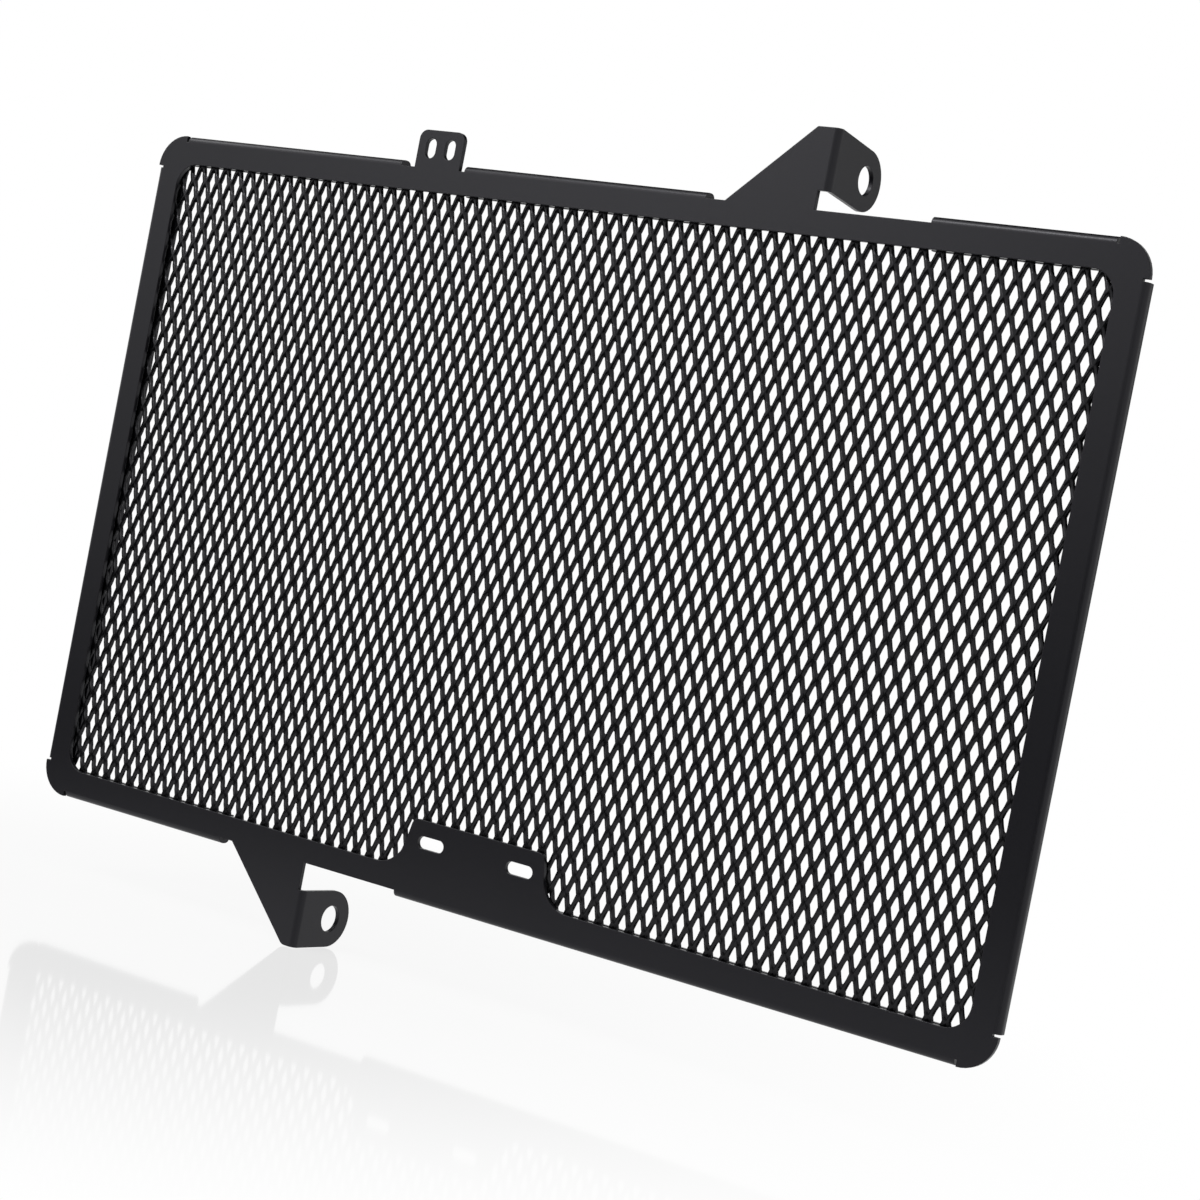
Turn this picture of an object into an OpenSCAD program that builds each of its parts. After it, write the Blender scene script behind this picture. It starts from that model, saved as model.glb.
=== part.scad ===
// Motorcycle radiator guard: one folded sheet, whose open hems clamp a panel of expanded
// mesh, and which hangs on two bolt ears and one tie tab.
// +X runs along the long side, +Y from the front face to the back, +Z up.
// The origin is the middle of the upper ear's bolt hole, on the ear's outer face.

/* [Sheet] */
// Thickness of the folded sheet
sheet_t = 1.5; // [1:0.1:2]
// Inside radius of every fold
fold_in_r = 0.5; // [0.3:0.1:1]
// Diameter of both bolt holes
bolt_d = 9; // [6.5:0.5:11]

/* [Panel] */
// Width over the side flanges
panel_w = 375; // [340:1:440]
// Height over the top and bottom flanges
panel_h = 235; // [200:1:290]
// Width of the strip from the flange to the window
strip_w = 9.7; // [8:0.1:13]
// Radius of the face's corners, which have no hem
corner_r = 11; // [9:0.5:13]
// Radius of the window's corners
window_r = 8; // [4:0.5:10]
// Slit between a corner and the hem beside it
corner_slit = 0.8; // [0.5:0.1:2]

/* [Tie tab] */
// Middle of the tab, from the panel's middle
tab_x = -65; // [-72:0.5:-50]
// Width of the tab
tab_w = 18.5; // [17:0.5:24]
// Rise of the tab over the top flange
tab_rise = 10.5; // [10:0.5:16]
// Radius of the tab's corners
tab_r = 3; // [1:0.5:4]
// Width of each tie slot
slot_w = 4.2; // [3:0.1:5]
// Length of each tie slot
slot_l = 6.6; // [5.5:0.1:7.5]
// Distance between the slots' middles
slot_pitch = 7.9; // [6.5:0.1:9]
// From the tab's top down to the slots' middles
slot_drop = 6; // [5:0.5:7]
// Gap between the tab and the hem on its left
tab_gap_l = 5.5; // [2:0.1:8]
// Gap between the tab and the hem on its right
tab_gap_r = 2.2; // [2:0.1:8]

/* [Upper bracket] */
// Outer face of the ear, from the panel's middle
up_x = 82; // [76:0.5:90]
// Rise of the bracket over the top flange
up_rise = 22.9; // [22:0.1:30]
// Level edge between the slope and the fold
up_flat = 5.8; // [4:0.1:12]
// Run of the slope along the panel
up_run = 27.4; // [20:0.1:34]
// Radius between the slope and the level edge
up_tip_r = 0.8; // [0.5:0.1:4]
// Width of the ear at the fold
up_ear_w = 19; // [17:0.5:20]
// Radius of the ear's round end
up_end_r = 9.4; // [8.5:0.1:11]
// From the front face back to the bolt hole
up_back = 20.4; // [16:0.1:30]
// From the bracket's top down to the bolt hole
up_drop = 11.5; // [9.5:0.1:12]
// Relief cut at the fold, beside the ear
up_relief = 1.7; // [1:0.1:3]
// Gap between the slope's foot and the hem on its left
up_gap = 6.9; // [2:0.1:9]
// Gap between the ear and the hem on its right
up_clear = 35.6; // [20:0.1:45]

/* [Lower bracket] */
// Outer face of the ear, from the panel's middle
low_x = -62.5; // [-70:0.5:-55]
// Reach of the bracket under the bottom flange
low_rise = 26.1; // [24:0.1:32]
// Level edge between the slope and the fold
low_flat = 3.2; // [3:0.1:10]
// Run of the slope along the panel
low_run = 29; // [20:0.1:34]
// Radius between the slope and the level edge
low_tip_r = 3; // [0.5:0.1:4]
// Width of the ear at the fold
low_ear_w = 19; // [18:0.5:20]
// Radius of the ear's round end
low_end_r = 9.5; // [8.5:0.1:11]
// From the front face back to the bolt hole
low_back = 16.5; // [14:0.1:26]
// From the bracket's lowest edge up to the bolt hole
low_drop = 9.5; // [9.5:0.1:12]
// Relief cut at the fold, beside the ear
low_relief = 0.5; // [0.4:0.1:3]
// Gap between the slope's foot and the hem on its left
low_gap = 5.5; // [2:0.1:9]
// Gap between the ear and the hem on its right
low_clear = 36; // [20:0.1:45]

/* [Plate in the window] */
// Middle of the plate, from the panel's middle
plate_x = 1.9; // [-20:0.1:20]
// Rise of the plate over the window's edge
plate_rise = 16.5; // [14:0.5:24]
// Width of the plate at its top
plate_top_w = 51.8; // [44:0.1:70]
// Width of the plate where its feet begin to flare
plate_foot_w = 54; // [54:0.1:76]
// Radius of the plate's top corners
plate_r = 2.5; // [1:0.5:3]
// Radius of the flare at each foot
foot_r = 11; // [4:0.5:11]
// Length of each plain slot in the plate
vent_l = 10.5; // [8:0.5:14]
// Width of each plain slot in the plate
vent_w = 4; // [3:0.5:5]
// Distance between the plain slots' middles
vent_pitch = 35.2; // [24:0.1:36]
// From the plate's top down to the plain slots' middles
vent_drop = 7; // [6:0.5:9]

/* [Mesh] */
// Thickness of the mesh, from its front points to its back points
mesh_t = 2; // [1.5:0.1:4]
// Gap between the mesh's edge and the flanges' inner faces
mesh_gap = 2; // [0.5:0.1:3]
// Pitch of the diamonds across
diamond_pitch_x = 12.4; // [11:0.1:20]
// Pitch of the diamonds upward
diamond_pitch_z = 23.4; // [20:0.1:40]
// Width of the strands between the diamonds
strand_w = 4.2; // [3:0.1:6]
// How far the diamonds go on behind the strip
net_under = 3; // [1:0.5:5]
// Lap of the mesh behind the plate's edges
plate_lap = 2; // [1.5:0.1:4]
// Width of the solid rim round the bay behind the plate
bay_rim = 1.5; // [1:0.1:3]

/* [Hidden] */
$fn = 64;
weld = 1; // overlap of pieces of the same sheet

fold_r = fold_in_r + sheet_t;
hem_d = 2 * sheet_t + mesh_t;
half_w = panel_w / 2;
half_h = panel_h / 2;

// the face's flat ends where the folds begin
flat_x = half_w - fold_r;
flat_z = half_h - fold_r;
win_x = half_w - strip_w;
win_z = half_h - strip_w;
hem_end_x = half_w - corner_r - corner_slit;
hem_end_z = half_h - corner_r - corner_slit;

tab_top = half_h + tab_rise;
up_top = half_h + up_rise;
low_top = half_h + low_rise;
up_foot = up_x - fold_r - up_flat - up_run;
low_foot = low_x - fold_r - low_flat - low_run;
plate_top = plate_rise - win_z;

mesh_x = half_w - sheet_t - mesh_gap;
mesh_z = half_h - sheet_t - mesh_gap;
mesh_r = corner_r - sheet_t - mesh_gap;
net_x = win_x + net_under;
net_z = win_z + net_under;
step_x = diamond_pitch_x / 2;
step_z = diamond_pitch_z / 2;

// the strands' width, taken square to them, leaves this share of each diamond open
open_share = 1 - strand_w * norm([step_x, step_z]) / (2 * step_x * step_z);
open_x = step_x * open_share;
open_z = step_z * open_share;
bay_x = plate_top_w / 2 - plate_lap;
bay_top = plate_top - plate_lap;

function unit(v) = v / norm(v);

// where a line from p touches the circle of radius r round c, on one side or the other
function touch(p, c, r, side) =
    let (v = p - c, a = atan2(v.y, v.x) + side * acos(r / norm(v)))
    c + r * [cos(a), sin(a)];

// the part of a convex outline q on the near side of the line n * point = d
function cut(q, n, d) = [
    for (i = [0 : 1 : len(q) - 1])
        let (a = q[i], b = q[(i + 1) % len(q)], da = n * a - d, db = n * b - d)
        for (point = concat(da <= 0 ? [a] : [], da * db < 0 ? [a + (b - a) * da / (da - db)] : []))
            point
];

module upright(t) {
    translate([0, t, 0]) rotate([90, 0, 0]) linear_extrude(t) children();
}

module round_rect(half_x, half_z, r) {
    square([2 * (half_x - r), 2 * half_z], center = true);
    square([2 * half_x, 2 * (half_z - r)], center = true);
    for (x = [-1, 1], z = [-1, 1]) {
        translate([x * (half_x - r), z * (half_z - r)]) circle(r);
    }
}

module obround(l, w) {
    square([l - w, w], center = true);
    for (side = [-1, 1]) translate([side * (l - w) / 2, 0]) circle(w / 2);
}

// what lies between the corner p of an outline, next to points a and b, and its arc
module corner(a, p, b, r) {
    u = unit(a - p);
    v = unit(b - p);
    half = acos(u * v) / 2;
    n = unit(u + v);
    c = p + n * r / sin(half);
    difference() {
        polygon([p - n * weld / 2, p + u * r / tan(half), c, p + v * r / tan(half)]);
        translate(c) circle(r);
    }
}

// section of a quarter fold: the sheet comes along x, and leaves along y at x = fold_r
module fold_section() {
    intersection() {
        translate([0, fold_r]) difference() {
            circle(fold_r);
            circle(fold_in_r);
        }
        translate([0, -weld]) square([fold_r + weld, fold_r + weld]);
    }
}

// section of the open hem, with x = 0 on the flange's outer face
module hem_section() {
    translate([-fold_r - weld, 0]) square([weld, sheet_t]);
    translate([-fold_r, 0]) fold_section();
    translate([-sheet_t, fold_r]) square([sheet_t, hem_d - 2 * fold_r]);
    translate([-fold_r, hem_d]) mirror([0, 1]) fold_section();
    translate([-strip_w, hem_d - sheet_t]) square([strip_w - fold_r, sheet_t]);
}

module side_hem() {
    translate([half_w, 0, -hem_end_z]) linear_extrude(2 * hem_end_z) hem_section();
}

module top_hem(from_x, to_x) {
    translate([to_x, 0, half_h]) rotate([0, -90, 0])
        linear_extrude(to_x - from_x) hem_section();
}

module face_corner() {
    translate([half_w - corner_r, half_h - corner_r]) intersection() {
        circle(corner_r);
        square(corner_r + weld);
    }
}

module tab_flat() {
    left = tab_x - tab_w / 2;
    right = tab_x + tab_w / 2;
    top = tab_top;
    difference() {
        translate([left, flat_z - weld]) square([tab_w, top - flat_z + weld]);
        corner([left, 0], [left, top], [right, top], tab_r);
        corner([left, top], [right, top], [right, 0], tab_r);
        for (side = [-1, 1]) {
            translate([tab_x + side * slot_pitch / 2, top - slot_drop])
                rotate(90) obround(slot_l, slot_w);
        }
    }
}

// flat part of a bracket, from the slope's foot to the fold in front of the ear
module bracket_flat(foot, run, top, fold_x, ear_w, relief, tip_r) {
    start = [foot, flat_z];
    tip = [foot + run, top];
    end = [fold_x, top];
    neck = fold_x - relief;
    difference() {
        polygon([
            [foot, flat_z - weld], start, tip, end,
            [fold_x, top - ear_w], [neck, top - ear_w], [neck, flat_z - weld]
        ]);
        corner(start, tip, end, tip_r);
    }
}

module ear(x, top, ear_w, back, drop, end_r) {
    hole = [back, top - drop];
    upper = [fold_r, top];
    lower = [fold_r, top - ear_w];
    translate([x - fold_r, 0, top - ear_w]) linear_extrude(ear_w) fold_section();
    difference() {
        translate([x - sheet_t, 0, 0]) rotate([90, 0, 90]) linear_extrude(sheet_t) {
            polygon([
                lower, upper, touch(upper, hole, end_r, -1), hole, touch(lower, hole, end_r, 1)
            ]);
            translate(hole) circle(end_r);
        }
        translate([x - sheet_t / 2, hole.x, hole.y]) rotate([0, 90, 0])
            cylinder(h = 3 * sheet_t, d = bolt_d, center = true);
    }
}

module window_plate() {
    base = -win_z;
    foot = base + foot_r;
    difference() {
        union() {
            polygon([
                [-plate_foot_w / 2, base - weld], [-plate_foot_w / 2, foot],
                [-plate_top_w / 2, plate_top], [plate_top_w / 2, plate_top],
                [plate_foot_w / 2, foot], [plate_foot_w / 2, base - weld]
            ]);
            for (side = [-1, 1]) {
                edge = side * plate_foot_w / 2;
                corner([edge, foot], [edge, base], [2 * edge, base], foot_r);
            }
        }
        for (side = [-1, 1]) {
            edge = side * plate_top_w / 2;
            corner([0, plate_top], [edge, plate_top], [side * plate_foot_w / 2, foot], plate_r);
            translate([side * vent_pitch / 2, plate_top - vent_drop]) obround(vent_l, vent_w);
        }
    }
}

module face() {
    difference() {
        union() {
            square([2 * (half_w - corner_r), 2 * flat_z], center = true);
            square([2 * flat_x, 2 * (half_h - corner_r)], center = true);
            for (x = [0, 1], z = [0, 1]) mirror([x, 0]) mirror([0, z]) face_corner();
        }
        round_rect(win_x, win_z, window_r);
    }
    translate([plate_x, 0]) window_plate();
    tab_flat();
    bracket_flat(up_foot, up_run, up_top, up_x - fold_r, up_ear_w, up_relief, up_tip_r);
    mirror([0, 1])
        bracket_flat(low_foot, low_run, low_top, low_x - fold_r, low_ear_w, low_relief, low_tip_r);
}

module folded_sheet() {
    upright(sheet_t) face();
    for (side = [0, 1]) mirror([side, 0, 0]) side_hem();
    top_hem(-hem_end_x, tab_x - tab_w / 2 - tab_gap_l);
    top_hem(tab_x + tab_w / 2 + tab_gap_r, up_foot - up_gap);
    top_hem(up_x + up_clear, hem_end_x);
    ear(up_x, up_top, up_ear_w, up_back, up_drop, up_end_r);
    mirror([0, 0, 1]) {
        top_hem(-hem_end_x, low_foot - low_gap);
        top_hem(low_x + low_clear, hem_end_x);
        ear(low_x, low_top, low_ear_w, low_back, low_drop, low_end_r);
    }
}

// one diamond, kept inside the netted field and off the rim of the bay behind the plate
function diamond(x, z) =
    let (
        whole = [[x + open_x, z], [x, z + open_z], [x - open_x, z], [x, z - open_z]],
        sides = cut(cut(whole, [1, 0], net_x), [-1, 0], net_x),
        field = cut(cut(sides, [0, 1], net_z), [0, -1], net_z),
        away = x < plate_x ? -1 : 1,
        clear_x = bay_x + bay_rim,
        clear_z = bay_top + bay_rim
    )
    abs(x - plate_x) < clear_x ? cut(field, [0, -1], -clear_z)
    : z - open_z < clear_z ? cut(field, [-away, 0], -away * plate_x - clear_x)
    : field;

// the diamonds stand in staggered rows
module net() {
    columns = ceil(net_x / step_x);
    rows = ceil(net_z / step_z);
    for (i = [-columns : columns], j = [-rows : rows]) {
        outline = diamond(i * step_x, j * step_z);
        if ((i + j) % 2 == 0 && len(outline) > 2) polygon(outline);
    }
}

module mesh_panel() {
    translate([0, sheet_t, 0]) upright(mesh_t) difference() {
        round_rect(mesh_x, mesh_z, mesh_r);
        translate([plate_x - bay_x, -mesh_z - weld]) square([2 * bay_x, bay_top + mesh_z + weld]);
        net();
    }
}

// the panel is drawn round its own middle and moved to the upper bolt hole
module from_hole() {
    translate([-up_x, -up_back, up_drop - up_top]) children();
}

module frame() {
    color([0.11, 0.11, 0.12]) from_hole() folded_sheet();
}

module mesh() {
    color([0.07, 0.07, 0.08]) from_hole() mesh_panel();
}

frame();
mesh();
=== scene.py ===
# %% [markdown]
# # A motorcycle radiator guard
# The real guard is one folded sheet of metal whose open hems clamp a panel of expanded mesh,
# and the whole thing is powder coated black. The frame comes from the CAD model as it is.
# The mesh in the CAD model is a plain perforated plate, so this notebook builds the raised
# strands of real expanded metal in its place, and then works on the coat, the light and the camera.

# %% Load the frame
import math

import bmesh
import bpy
from mathutils import Euler, Matrix, Vector


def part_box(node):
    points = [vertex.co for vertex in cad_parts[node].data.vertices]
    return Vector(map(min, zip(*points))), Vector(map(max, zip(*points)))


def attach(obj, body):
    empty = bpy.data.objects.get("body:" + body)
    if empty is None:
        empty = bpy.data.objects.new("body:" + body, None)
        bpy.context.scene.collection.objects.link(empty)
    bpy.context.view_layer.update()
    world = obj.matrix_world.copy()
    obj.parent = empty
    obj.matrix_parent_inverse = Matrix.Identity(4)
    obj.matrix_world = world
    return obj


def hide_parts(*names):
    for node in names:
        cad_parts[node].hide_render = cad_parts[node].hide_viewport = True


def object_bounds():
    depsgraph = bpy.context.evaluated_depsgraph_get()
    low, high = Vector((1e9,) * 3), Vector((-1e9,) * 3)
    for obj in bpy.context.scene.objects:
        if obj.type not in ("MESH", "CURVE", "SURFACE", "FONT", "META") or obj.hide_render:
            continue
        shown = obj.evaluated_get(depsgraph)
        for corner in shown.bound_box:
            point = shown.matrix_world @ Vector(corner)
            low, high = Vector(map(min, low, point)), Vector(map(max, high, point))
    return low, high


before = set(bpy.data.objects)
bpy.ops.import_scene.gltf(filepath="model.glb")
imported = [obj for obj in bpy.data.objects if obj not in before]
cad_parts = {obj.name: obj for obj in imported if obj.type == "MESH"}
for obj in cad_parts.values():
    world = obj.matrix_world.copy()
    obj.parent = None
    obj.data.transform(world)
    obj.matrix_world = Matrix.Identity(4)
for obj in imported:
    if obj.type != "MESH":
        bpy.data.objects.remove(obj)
cad_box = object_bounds()
MM = 0.001
print("nodes:", sorted(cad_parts))
print("CAD box in mm:", [[round(value / MM, 1) for value in corner] for corner in cad_box])

# %% [markdown]
# ## Where the panel is
# The frame's origin is the upper ear's bolt hole. Everything below is easier to think about from
# the middle of the panel, so this cell reads that middle from the mesh's own box: the mesh is
# centred in the panel, and its front lies against the back of the face.

# %% The mesh's room
mesh_low, mesh_high = (Vector(corner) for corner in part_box("mesh"))
panel_mid = (mesh_low + mesh_high) / 2
mesh_half = (mesh_high - mesh_low) / 2
print("panel's middle in mm:", [round(value / MM, 2) for value in panel_mid])
print("mesh half sizes in mm:", [round(value / MM, 2) for value in mesh_half])

# %% [markdown]
# ## Expanded mesh
# Expanded metal starts as a plain sheet. A press cuts staggered slits in it and pulls it open, so
# each slit becomes a leaf-shaped opening, and the metal between the slits becomes strands that meet
# in knuckles. The strands twist a little as they open, so one edge of each knuckle stands forward.
#
# It could be a texture with holes, or a plate cut by thousands of booleans. Here one cell is worked
# out by formula and repeated: a cell is a rhombus with a leaf-shaped opening in it, and its
# corners are the middles of four knuckles. Neighbours share the points on the rhombus, so the
# whole net is one closed mesh.

# %% Sizes of one cell
PITCH_X = 5.694 * MM      # from opening to opening across
PITCH_Z = 10.722 * MM     # from opening to opening upward
HALF_X = PITCH_X / 2
HALF_Z = PITCH_Z / 2
ROW_SHIFT = 0.064 * MM    # how far a row stands right of the one below: the sheet is pulled askew
FIRST_X = -2.35 * MM      # the opening nearest the panel's middle
FIRST_Z = 0.81 * MM
LEAF_W = 3.15 * MM        # an opening's width at its middle
LEAF_UP = 3.55 * MM       # from there up to its top tip
LEAF_DOWN = 3.6 * MM      # and down to its bottom tip
TIP_CROWDING = 0.9        # below 1, the points of its outline lie nearer the tips
SIDE_STEPS = 3            # segments on each quarter of an opening


def leaf_point(quarter, step):
    """A point of the opening's outline: step runs from the tip to the side in one quarter."""
    side, up = quarter
    share = step / SIDE_STEPS
    height = math.cos(share * math.pi / 2) ** TIP_CROWDING
    width = math.cos(height * math.pi / 2)
    return side * width * LEAF_W / 2, up * height * (LEAF_UP if up > 0 else LEAF_DOWN)


def cell_outline():
    """The ring of pairs, a point of the opening and its point on the rhombus, from the top tip.

    It runs clockwise, and the rhombus's points are counted in steps from its centre.
    """
    ring = []
    for side, up, from_tip in ((1, 1, True), (1, -1, False), (-1, -1, True), (-1, 1, False)):
        for step in range(SIDE_STEPS) if from_tip else range(SIDE_STEPS, 0, -1):
            ring.append((leaf_point((side, up), step), (side * step, up * (SIDE_STEPS - step))))
    return ring


outline = cell_outline()
print("points round one opening:", len(outline))

# %% [markdown]
# ## The depth of the strands
# Across a knuckle the metal is flat but tilted, so an opening's left edge is behind and its right
# edge in front. A strand that falls to the right leans back as it leaves its upper knuckle, swings
# forward over a short steep stretch and runs out to the next knuckle. A strand that falls to the
# left leans forward first and then back. So the steep stretch of the first kind looks up to the
# light, and the other kind stays dark. One bent line per strand is enough for that, and it costs
# few triangles.

# %% Depth formulas
KNUCKLE_TILT = math.tan(math.radians(13))
KNUCKLE_HALF = (PITCH_X - LEAF_W) / 2
EDGE_T = 0.4 * MM         # thickness of a strand at its edges
CROWN_T = 0.7 * MM        # and along its middle line
EDGE_FOLLOW = 0.8         # how much of the middle line's depth the edges follow
# One place a step along a strand, as shares of its length from its upper knuckle, and the depths
# there of one that falls to the right. Its lower knuckle is the next strand's first place.
STRAND_PLACES = (0, 0.28, 0.52)
STRAND_DEPTHS = (0, 0.25 * MM, -0.3 * MM)


def on_strand(rhombus):
    """Whether a point's strand falls to the right, and its step from the upper knuckle."""
    across, up = rhombus
    falls_right = across * up > 0
    return falls_right, (across if falls_right else -across) % SIDE_STEPS


def strand_depth(rhombus):
    """Depth of the strand's middle line at a point of the rhombus."""
    falls_right, step = on_strand(rhombus)
    return STRAND_DEPTHS[step] if falls_right else -STRAND_DEPTHS[step]


def strand_place(rhombus):
    """Where that point is, in steps from the rhombus's centre."""
    falls_right, step = on_strand(rhombus)
    slide = STRAND_PLACES[step] * SIDE_STEPS - step
    across, up = rhombus
    return across + (slide if falls_right else -slide), up - slide


def edge_depth(x):
    """Depth of an opening's edge: back on its left, forward on its right."""
    return -KNUCKLE_TILT * KNUCKLE_HALF * x / (LEAF_W / 2)


print("edges stand %.2f mm off the middle plane" % (abs(edge_depth(LEAF_W / 2)) / MM))

# %% [markdown]
# ## Repeat the cell
# The rhombus's points are kept in a dictionary under their place in the lattice, counted in steps.
# A neighbour that asks for the same place gets the same point back, which is what welds the cells
# together. Every place holds two points, one on the front and one on the back.

# %% One cell's points and faces


def cell_middle(i, j):
    """Where the opening of column i and row j has its middle, counted in half pitches."""
    return FIRST_X + i * HALF_X + j * ROW_SHIFT, FIRST_Z + j * HALF_Z


def lattice_point(points, shared, i, j, rhombus):
    """The number of a rhombus point of cell i, j, which is made when it is first asked for."""
    key = (SIDE_STEPS * i + rhombus[0], SIDE_STEPS * j + rhombus[1])
    if key not in shared:
        across, up = strand_place(rhombus)
        x, z = cell_middle(i + across / SIDE_STEPS, j + up / SIDE_STEPS)
        depth = strand_depth(rhombus)
        shared[key] = len(points)
        points.append((x, depth - CROWN_T / 2, z))
        points.append((x, depth + CROWN_T / 2, z))
    return shared[key]


def add_cell(points, faces, shared, i, j):
    """Add the rhombus's points, the opening's points and the faces from one to the other."""
    mid_x, mid_z = cell_middle(i, j)
    outer, inner = [], []
    for (x, z), rhombus in outline:
        outer.append(lattice_point(points, shared, i, j, rhombus))
        inner.append(len(points))
        lean = z / HALF_Z * ROW_SHIFT
        depth = edge_depth(x) + EDGE_FOLLOW * strand_depth(rhombus)
        points.append((mid_x + x + lean, depth - EDGE_T / 2, mid_z + z))
        points.append((mid_x + x + lean, depth + EDGE_T / 2, mid_z + z))
    for k in range(len(outline)):
        n = (k + 1) % len(outline)
        faces.append((outer[k], inner[k], inner[n], outer[n]))
        faces.append((inner[k], inner[k] + 1, inner[n] + 1, inner[n]))
        faces.append((outer[n] + 1, inner[n] + 1, inner[k] + 1, outer[k] + 1))


one_cell = ([], [])
add_cell(*one_cell, {}, 0, 0)
print("one cell has", len(one_cell[0]), "points and", len(one_cell[1]), "faces")

# %% The whole net's points and faces
SPARE_CELLS = 2           # past the panel's edges, because the first opening is off its middle


def net_points_and_faces():
    """Add every cell that reaches into the panel."""
    points, faces, shared = [], [], {}
    columns = math.ceil(mesh_half.x / HALF_X) + SPARE_CELLS
    rows = math.ceil(mesh_half.z / HALF_Z) + SPARE_CELLS
    for j in range(-rows, rows + 1):
        for i in range(-columns, columns + 1):
            x, z = cell_middle(i, j)
            reaches_in = abs(x) - HALF_X <= mesh_half.x and abs(z) - HALF_Z <= mesh_half.z
            if (i + j) % 2 == 0 and reaches_in:
                add_cell(points, faces, shared, i, j)
    return points, faces


net_points, net_faces = net_points_and_faces()
print("net points:", len(net_points), "faces:", len(net_faces))

# %% [markdown]
# ## Trim the net
# The panel of mesh is sheared to size after it is expanded, so its strands are cut straight through
# at the edges. It is also cut away behind the small plate in the window. Planes cut the net and
# each cut strand is closed with one face. A boolean would do the same, but far more slowly.

# %% Planes and caps
CORNER_CUT = 5.2 * MM     # how much a corner of the panel is cut off, along each edge
BAY_MID = 1.9 * MM        # the bay behind the small plate, from the panel's middle
BAY_HALF = 23.9 * MM
BAY_TOP = -93.3 * MM
EDGE_PLAY = 0.05 * MM     # the net stays this much inside the CAD model's panel
CUT_REACH = 1e-7          # within this distance in metres a plane takes a point that is there


def close_cuts(shape):
    """Close each cut strand with a flat face, and count them."""
    open_edges = [edge for edge in shape.edges if edge.is_boundary]
    made = bmesh.ops.holes_fill(shape, edges=open_edges, sides=0)
    for face in made["faces"]:
        face.smooth = False
    return len(made["faces"])


def trim_outside(shape, point, away):
    """Cut the whole net along a plane and throw away what is beyond it."""
    bmesh.ops.bisect_plane(
        shape, geom=shape.verts[:] + shape.edges[:] + shape.faces[:], dist=CUT_REACH,
        plane_co=point, plane_no=away, clear_outer=True)


def in_bay(face, room_x=0, room_z=0):
    """Whether a face has its middle in the bay, or in the room beside and above it."""
    middle = face.calc_center_median()
    return abs(middle.x - BAY_MID) < BAY_HALF + room_x and middle.z < BAY_TOP + room_z


def split_near_bay(shape, point, across):
    """Cut the net along a plane near the bay only, and keep both sides."""
    near = [face for face in shape.faces if in_bay(face, PITCH_X, PITCH_Z)]
    edges = list(dict.fromkeys(edge for face in near for edge in face.edges))
    corners = list(dict.fromkeys(corner for face in near for corner in face.verts))
    bmesh.ops.bisect_plane(
        shape, geom=corners + edges + near, dist=CUT_REACH, plane_co=point, plane_no=across)


print("bay is %.1f mm wide and %.1f mm high" % (2 * BAY_HALF / MM, (BAY_TOP + mesh_half.z) / MM))

# %% Trim and place the net


def trim_to_panel(shape):
    """Trim the four sides and the four corners."""
    edge_x = mesh_half.x - EDGE_PLAY
    edge_z = mesh_half.z - EDGE_PLAY
    for side in (-1, 1):
        trim_outside(shape, (side * edge_x, 0, 0), (side, 0, 0))
        trim_outside(shape, (0, 0, side * edge_z), (0, 0, side))
        for up in (-1, 1):
            corner = (side * (edge_x - CORNER_CUT), 0, up * edge_z)
            trim_outside(shape, corner, (side, 0, up))


def open_bay(shape):
    """Cut round the bay and take out what is in it."""
    for side in (-1, 1):
        split_near_bay(shape, (BAY_MID + side * BAY_HALF, 0, 0), (1, 0, 0))
    split_near_bay(shape, (0, 0, BAY_TOP), (0, 0, 1))
    bmesh.ops.delete(shape, geom=[face for face in shape.faces if in_bay(face)], context="FACES")


def trimmed_net():
    raw = bpy.data.meshes.new("expanded_mesh")
    raw.from_pydata(net_points, [], net_faces)
    shape = bmesh.new()
    shape.from_mesh(raw)
    for face in shape.faces:
        face.smooth = True
    trim_to_panel(shape)
    open_bay(shape)
    print("strands cut and closed:", close_cuts(shape))
    # Faces with four corners are left as they are; caps can have more, and those are split into
    # triangles.
    bmesh.ops.triangulate(shape, faces=[face for face in shape.faces if len(face.verts) > 4])
    print("edges still open:", sum(edge.is_boundary for edge in shape.edges))
    print("triangles:", sum(len(face.verts) - 2 for face in shape.faces))
    shape.to_mesh(raw)
    shape.free()
    return raw


net = bpy.data.objects.new("expanded_mesh", trimmed_net())
net.data.transform(Matrix.Translation(panel_mid))
bpy.context.scene.collection.objects.link(net)
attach(net, "root")
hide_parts("mesh")

# %% [markdown]
# ## The powder coat
# Powder coat is baked plastic: very dark, satin, with a faint orange-peel skin. Both pieces have
# it, so its texture is a node group that each material places with its own values. The group
# puts out a colour, a roughness and a height, and the shader itself stays in the material.

# %% Helpers for node trees


def socket(tree, name, way, kind, value=None):
    """Give a node group an input or an output."""
    made = tree.interface.new_socket(name=name, in_out=way, socket_type=kind)
    if value is not None:
        made.default_value = value
    return made


def math_node(tree, operation, *sources):
    """Add a Math node that is fed by sockets or plain numbers, and give its output."""
    node = tree.nodes.new("ShaderNodeMath")
    node.operation = operation
    for source, target in zip(sources, node.inputs):
        if isinstance(source, (int, float)):
            target.default_value = source
        else:
            tree.links.new(source, target)
    return node.outputs["Value"]


# %% The coat's texture as a node group
SKIN_DETAIL = 3.0         # the fine orange-peel noise
SKIN_ROUGHNESS = 0.55
SKIN_IN_ROUGHNESS = 0.12  # how much of it goes into the coat's roughness
CLOUD_SCALE = 35.0        # the wide, faint noise in the colour
CLOUD_DETAIL = 4.0
CLOUD_LOW, CLOUD_HIGH = 0.85, 1.15


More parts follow.
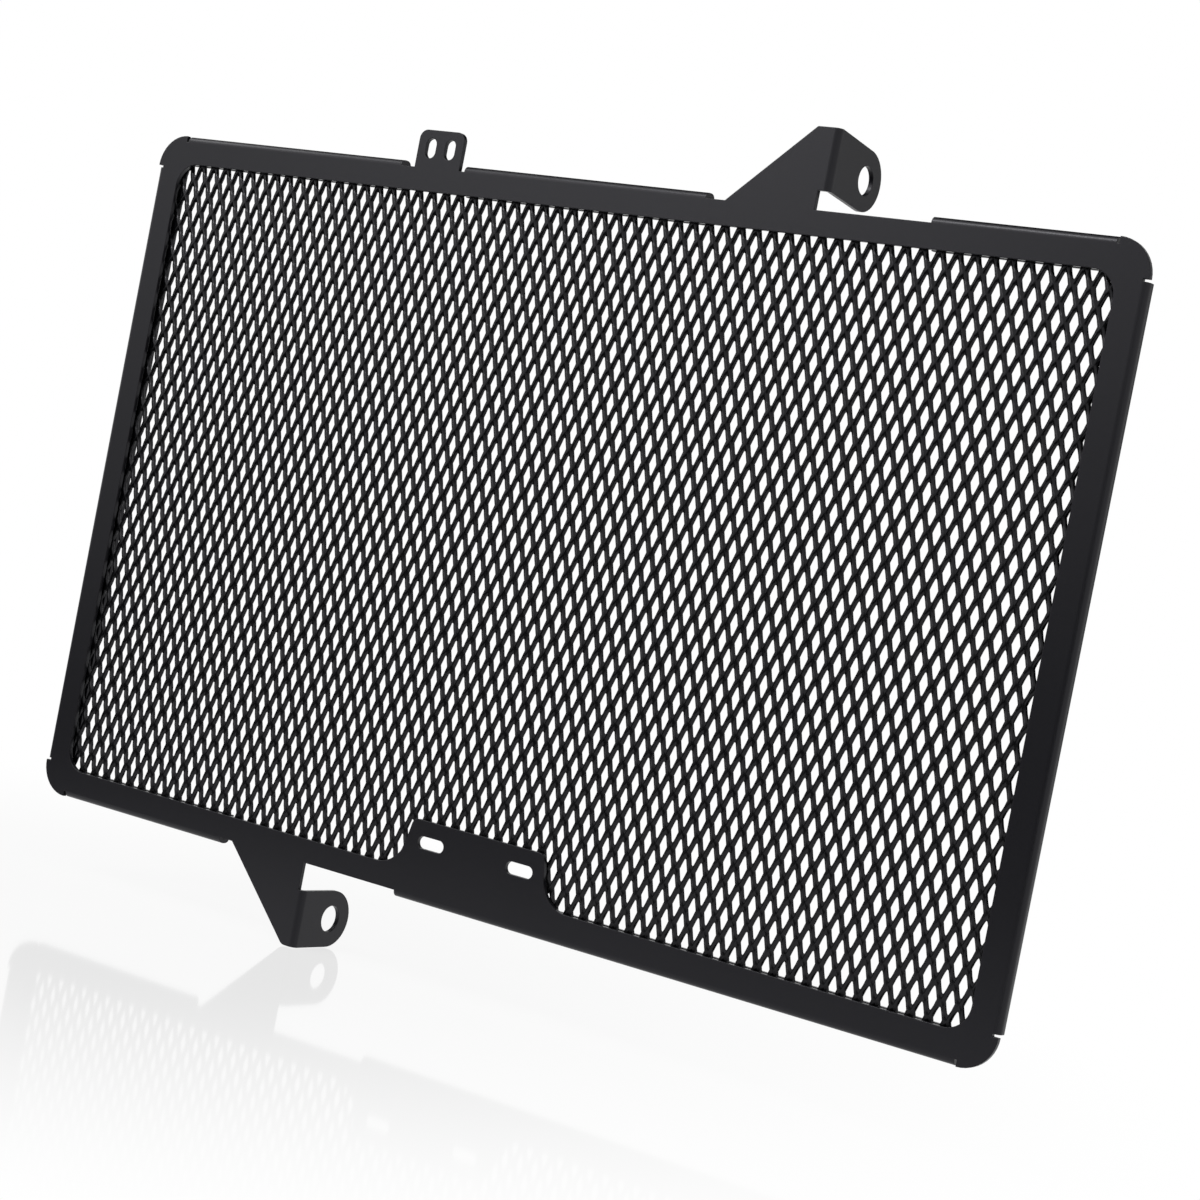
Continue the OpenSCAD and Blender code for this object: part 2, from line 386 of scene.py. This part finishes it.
def coat_texture():
    tree = bpy.data.node_groups.new("coat_texture", "ShaderNodeTree")
    socket(tree, "Colour", "INPUT", "NodeSocketColor", (0.02, 0.02, 0.02, 1))
    socket(tree, "Roughness", "INPUT", "NodeSocketFloat", 0.4)
    socket(tree, "Grain", "INPUT", "NodeSocketFloat", 2500.0)
    socket(tree, "Colour", "OUTPUT", "NodeSocketColor")
    socket(tree, "Roughness", "OUTPUT", "NodeSocketFloat")
    socket(tree, "Height", "OUTPUT", "NodeSocketFloat")
    nodes, links = tree.nodes, tree.links
    given = nodes.new("NodeGroupInput")
    result = nodes.new("NodeGroupOutput")
    place = nodes.new("ShaderNodeTexCoord")

    skin = nodes.new("ShaderNodeTexNoise")
    skin.inputs["Detail"].default_value = SKIN_DETAIL
    skin.inputs["Roughness"].default_value = SKIN_ROUGHNESS
    links.new(place.outputs["Object"], skin.inputs["Vector"])
    links.new(given.outputs["Grain"], skin.inputs["Scale"])
    links.new(skin.outputs["Fac"], result.inputs["Height"])

    cloud = nodes.new("ShaderNodeTexNoise")
    cloud.inputs["Scale"].default_value = CLOUD_SCALE
    cloud.inputs["Detail"].default_value = CLOUD_DETAIL
    links.new(place.outputs["Object"], cloud.inputs["Vector"])
    shade = nodes.new("ShaderNodeMapRange")
    shade.inputs["To Min"].default_value = CLOUD_LOW
    shade.inputs["To Max"].default_value = CLOUD_HIGH
    links.new(cloud.outputs["Fac"], shade.inputs["Value"])
    tint = nodes.new("ShaderNodeVectorMath")
    tint.operation = "SCALE"
    links.new(given.outputs["Colour"], tint.inputs[0])
    links.new(shade.outputs["Result"], tint.inputs["Scale"])
    links.new(tint.outputs["Vector"], result.inputs["Colour"])

    uneven = math_node(
        tree, "MULTIPLY_ADD", skin.outputs["Fac"], SKIN_IN_ROUGHNESS, given.outputs["Roughness"])
    links.new(uneven, result.inputs["Roughness"])
    return tree


texture = coat_texture()
print("group sockets:", [item.name for item in texture.interface.items_tree])

# %% [markdown]
# ## Two coats
# The folded sheet shows broad flat faces, so its coat is a little rougher, and its laser-cut edges
# are eased by a Bevel node: the coat pulls into a small radius there and catches a thin line of
# light. The mesh is thin strands, and its coat runs smoother over them.

# %% Materials
EDGE_EASE = 0.35 * MM
EDGE_SAMPLES = 6
SKIN_HEIGHT = 0.05 * MM
COAT_TINT = (0.95, 0.94, 1.0, 1)    # the coat's sheen is a trace cooler than the light


def coat(name, colour, roughness, grain, bump, specular):
    """A powder coat with its own values. Its Bump node is given too, for the Bevel node."""
    material = bpy.data.materials.new(name)
    material.use_nodes = True
    nodes, links = material.node_tree.nodes, material.node_tree.links
    shader = nodes["Principled BSDF"]
    shader.inputs["Specular IOR Level"].default_value = specular
    shader.inputs["Specular Tint"].default_value = COAT_TINT
    group = nodes.new("ShaderNodeGroup")
    group.node_tree = texture
    group.inputs["Colour"].default_value = (*colour, 1)
    group.inputs["Roughness"].default_value = roughness
    group.inputs["Grain"].default_value = grain
    links.new(group.outputs["Colour"], shader.inputs["Base Color"])
    links.new(group.outputs["Roughness"], shader.inputs["Roughness"])
    relief = nodes.new("ShaderNodeBump")
    relief.inputs["Strength"].default_value = bump
    relief.inputs["Distance"].default_value = SKIN_HEIGHT
    links.new(group.outputs["Height"], relief.inputs["Height"])
    links.new(relief.outputs["Normal"], shader.inputs["Normal"])
    return material, relief


frame_coat, frame_relief = coat(
    "frame_coat", colour=(0.004, 0.004, 0.0056), roughness=0.28, grain=2400, bump=0.35,
    specular=0.3)
eased = frame_coat.node_tree.nodes.new("ShaderNodeBevel")
eased.samples = EDGE_SAMPLES
eased.inputs["Radius"].default_value = EDGE_EASE
frame_coat.node_tree.links.new(eased.outputs["Normal"], frame_relief.inputs["Normal"])

mesh_coat, _ = coat(
    "mesh_coat", colour=(0.002, 0.002, 0.0024), roughness=0.18, grain=3000, bump=0.2,
    specular=0.28)

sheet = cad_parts["frame"]
for slot in sheet.material_slots:
    slot.material = frame_coat
net.data.materials.append(mesh_coat)
print("slots on the sheet:", len(sheet.material_slots))

# %% [markdown]
# ## A white floor with a faint mirror image
# The guard stands on white, shiny board, as in a catalogue picture: the board is as white as the
# backdrop, and close to the guard it shows a little shade and a faint mirror image. A plain white
# paint would look grey here. So the camera, reflections and glass see mostly white light of
# strength 1 in its place, and only close to the guard a share of the real paint. The mirror image
# is a Glossy shader that is mixed in by the same distance.

# %% Which rays see plain white


def white_rays(tree, rays):
    """1 for rays from the camera, off gloss and through glass, and 0 for the rest."""
    seen = math_node(tree, "ADD", rays.outputs["Is Camera Ray"], rays.outputs["Is Glossy Ray"])
    total = math_node(tree, "ADD", seen, rays.outputs["Is Transmission Ray"])
    total.node.use_clamp = True
    return total


# %% The floor's material
FLOOR_WHITE = (0.9, 0.9, 0.9, 1)
FLOOR_ROUGHNESS = 0.9
GLOSS_ROUGHNESS = 0.06    # of the mirror image
SHEEN = 0.2               # how much the floor mirrors close to the guard
SHADOW_SHARE = 0.06       # how much of the paint's own light and shade shows there
FADE_MID = (-0.12, -0.03, 0)   # sheen and shade are strongest here, left of the floor's middle
FADE_NEAR = 0.08          # and fade out between these distances from it
FADE_FAR = 0.38


def floor_nearness(tree):
    """1 close to the guard, fading to 0."""
    place = tree.nodes.new("ShaderNodeTexCoord")
    distance = tree.nodes.new("ShaderNodeVectorMath")
    distance.operation = "DISTANCE"
    distance.inputs[1].default_value = FADE_MID
    tree.links.new(place.outputs["Object"], distance.inputs[0])
    near = tree.nodes.new("ShaderNodeMapRange")
    near.interpolation_type = "SMOOTHSTEP"
    near.inputs["From Min"].default_value = FADE_NEAR
    near.inputs["From Max"].default_value = FADE_FAR
    near.inputs["To Min"].default_value = 1.0
    near.inputs["To Max"].default_value = 0.0
    tree.links.new(distance.outputs["Value"], near.inputs["Value"])
    return near.outputs["Result"]


def mix_shaders(tree, share, first, second):
    mix = tree.nodes.new("ShaderNodeMixShader")
    tree.links.new(share, mix.inputs["Fac"])
    tree.links.new(first, mix.inputs[1])
    tree.links.new(second, mix.inputs[2])
    return mix.outputs["Shader"]


def white_floor():
    material = bpy.data.materials.new("white_floor")
    material.use_nodes = True
    tree = material.node_tree
    paint = tree.nodes["Principled BSDF"]
    paint.inputs["Base Color"].default_value = FLOOR_WHITE
    paint.inputs["Roughness"].default_value = FLOOR_ROUGHNESS
    paint.inputs["Specular IOR Level"].default_value = 0.0
    white = tree.nodes.new("ShaderNodeEmission")
    gloss = tree.nodes.new("ShaderNodeBsdfGlossy")
    gloss.inputs["Roughness"].default_value = GLOSS_ROUGHNESS
    rays = tree.nodes.new("ShaderNodeLightPath")
    near = floor_nearness(tree)

    # White light, with a share of the paint close to the guard
    whiteness = math_node(tree, "MULTIPLY_ADD", near, -SHADOW_SHARE, 1.0)
    whiteness = math_node(tree, "MULTIPLY", white_rays(tree, rays), whiteness)
    matte = mix_shaders(tree, whiteness, paint.outputs["BSDF"], white.outputs["Emission"])

    # The mirror image over it, for the camera only
    sheen = math_node(tree, "MULTIPLY", near, SHEEN)
    sheen = math_node(tree, "MULTIPLY", sheen, rays.outputs["Is Camera Ray"])
    surface = mix_shaders(tree, sheen, matte, gloss.outputs["BSDF"])
    tree.links.new(surface, tree.nodes["Material Output"].inputs["Surface"])
    return material


floor_paint = white_floor()
print("nodes in the floor's material:", len(floor_paint.node_tree.nodes))

# %% Floor
FLOOR_DROP = 0.3 * MM     # under the guard's lowest point
FLOOR_HALF = 3.0

floor_mesh = bpy.data.meshes.new("floor")
floor_corners = [(-FLOOR_HALF, -FLOOR_HALF, 0), (FLOOR_HALF, -FLOOR_HALF, 0),
                 (FLOOR_HALF, FLOOR_HALF, 0), (-FLOOR_HALF, FLOOR_HALF, 0)]
floor_mesh.from_pydata(floor_corners, [], [range(len(floor_corners))])
floor_mesh.materials.append(floor_paint)
floor = bpy.data.objects.new("floor", floor_mesh)
floor.location = (panel_mid.x, panel_mid.y, cad_box[0][2] - FLOOR_DROP)
bpy.context.scene.collection.objects.link(floor)
print("floor at %.1f mm" % (floor.location.z / MM))

# %% [markdown]
# ## Dark cloths
# A black satin coat shows only what it mirrors, so a picture of it is made with dark cloths as much
# as with lamps. One cloth lies on the floor in front and to the left, one hangs in front, one hangs
# behind on the right and one is stretched overhead. The strands and faces that look that way go
# dark, and the others stay light. A photographer keeps the cloths out of the picture. Here they
# show in reflections only: the camera doesn't see them, and they throw no shade on the floor.

# %% One cloth
CLOTH_BLACK = (0.02, 0.02, 0.02, 1)
CLOTH_ROUGHNESS = 0.95


def cloth_material():
    material = bpy.data.materials.new("dark_cloth")
    material.use_nodes = True
    shader = material.node_tree.nodes["Principled BSDF"]
    shader.inputs["Base Color"].default_value = CLOTH_BLACK
    shader.inputs["Roughness"].default_value = CLOTH_ROUGHNESS
    shader.inputs["Specular IOR Level"].default_value = 0.0
    return material


cloth_paint = cloth_material()


def cloth(name, corners):
    """A flat cloth, with its corners given from the panel's middle."""
    shape = bpy.data.meshes.new(name)
    places = [panel_mid + Vector(corner) for corner in corners]
    shape.from_pydata(places, [], [range(len(places))])
    shape.materials.append(cloth_paint)
    made = bpy.data.objects.new(name, shape)
    made.visible_camera = False
    made.visible_diffuse = False
    made.visible_shadow = False
    bpy.context.scene.collection.objects.link(made)
    return made


print("cloth's material:", cloth_paint.name)

# %% The four cloths
FLOOR_CLOTH = ((0.03, -0.33), (-0.47, 0.07), (-2.2, 0.3), (-2.2, -2.2), (1.6, -2.2), (1.2, -0.75))
FLOOR_CLOTH_LIFT = 0.5 * MM
OVERHEAD_CLOTH = ((-1.6, 0.1, 1.3), (1.2, 0.1, 1.3), (1.2, 2.0, 1.1), (-1.6, 2.0, 1.1))
FRONT_CLOTH = {"left": -0.62, "right": 1.3, "y": -1.15, "top": 0.1}
RIGHT_CLOTH = {"left": 0.03, "right": 0.6, "y": 1.1, "top": 0.5}

floor_height = floor.location.z - panel_mid.z


def hanging_cloth(name, left, right, y, top):
    """A cloth that hangs down to the floor."""
    corners = [(left, y, floor_height), (right, y, floor_height), (right, y, top), (left, y, top)]
    return cloth(name, corners)


cloths = [
    cloth("floor_cloth", [(x, y, floor_height + FLOOR_CLOTH_LIFT) for x, y in FLOOR_CLOTH]),
    cloth("overhead_cloth", OVERHEAD_CLOTH),
    hanging_cloth("front_cloth", **FRONT_CLOTH),
    hanging_cloth("right_cloth", **RIGHT_CLOTH),
]
print("dark cloths:", [thing.name for thing in cloths])

# %% [markdown]
# ## World and lamps
# The world is plain white to the camera, in reflections and through glass, and lights the guard at
# a plain grey level. Three small soft lamps stand on the left and in front. They draw the thin
# bright lines along the upper bends and the light spots on the strands. One large lamp would be
# simpler, but it would wash all the strands to one grey.

# %% World
WORLD_LEVEL = 0.55


def studio_world():
    world = bpy.data.worlds.new("studio")
    world.use_nodes = True
    tree = world.node_tree
    background = tree.nodes["Background"]
    background.inputs["Color"].default_value = (1, 1, 1, 1)
    rays = tree.nodes.new("ShaderNodeLightPath")
    level = tree.nodes.new("ShaderNodeMapRange")
    level.inputs["To Min"].default_value = WORLD_LEVEL
    level.inputs["To Max"].default_value = 1.0
    tree.links.new(white_rays(tree, rays), level.inputs["Value"])
    tree.links.new(level.outputs["Result"], background.inputs["Strength"])
    return world


bpy.context.scene.world = studio_world()
print("world level:", WORLD_LEVEL)

# %% Lamps


def soft_lamp(name, place, size, power):
    """A square lamp that looks at the panel's middle, with its place given from there."""
    data = bpy.data.lights.new(name, "AREA")
    data.shape = "SQUARE"
    data.size = size
    data.energy = power
    lamp = bpy.data.objects.new(name, data)
    lamp.location = panel_mid + Vector(place)
    lamp.rotation_euler = (-Vector(place)).to_track_quat("-Z", "Y").to_euler()
    bpy.context.scene.collection.objects.link(lamp)
    return lamp


lamps = [
    soft_lamp("key", place=(-0.465, -0.9, 1.12), size=0.45, power=9),
    soft_lamp("left", place=(-1.1, -0.3, 0.8), size=0.5, power=3),
    soft_lamp("side", place=(-0.8, -1.25, 0.5), size=0.5, power=1.7),
]
print("lamps:", [lamp.name for lamp in lamps])

# %% [markdown]
# ## Camera
# The picture was taken from the guard's right, level with its middle and about 0.85 m away, with
# the camera rolled by eleven degrees. The place, the turn and the lens were fitted together to the
# panel's corners and holes: how strongly its edges run together gives the distance, and its size
# in the picture then gives the lens.

# %% Camera
CAMERA_PLACE = Vector((487.7, -690.9, 11.0)) * MM      # from the panel's middle
CAMERA_TURN = (88.453, -11.006, 33.913)                # degrees
CAMERA_LENS = 80.65                                    # mm, on a sensor this wide:
CAMERA_SENSOR = 36

camera_data = bpy.data.cameras.new("camera")
camera_data.lens = CAMERA_LENS
camera_data.sensor_width = CAMERA_SENSOR
camera = bpy.data.objects.new("camera", camera_data)
camera.location = panel_mid + CAMERA_PLACE
camera.rotation_euler = Euler([math.radians(angle) for angle in CAMERA_TURN])
bpy.context.scene.collection.objects.link(camera)
bpy.context.scene.camera = camera
bpy.context.scene.view_settings.view_transform = "Standard"
print("camera in mm:", [round(value / MM, 1) for value in camera.location])
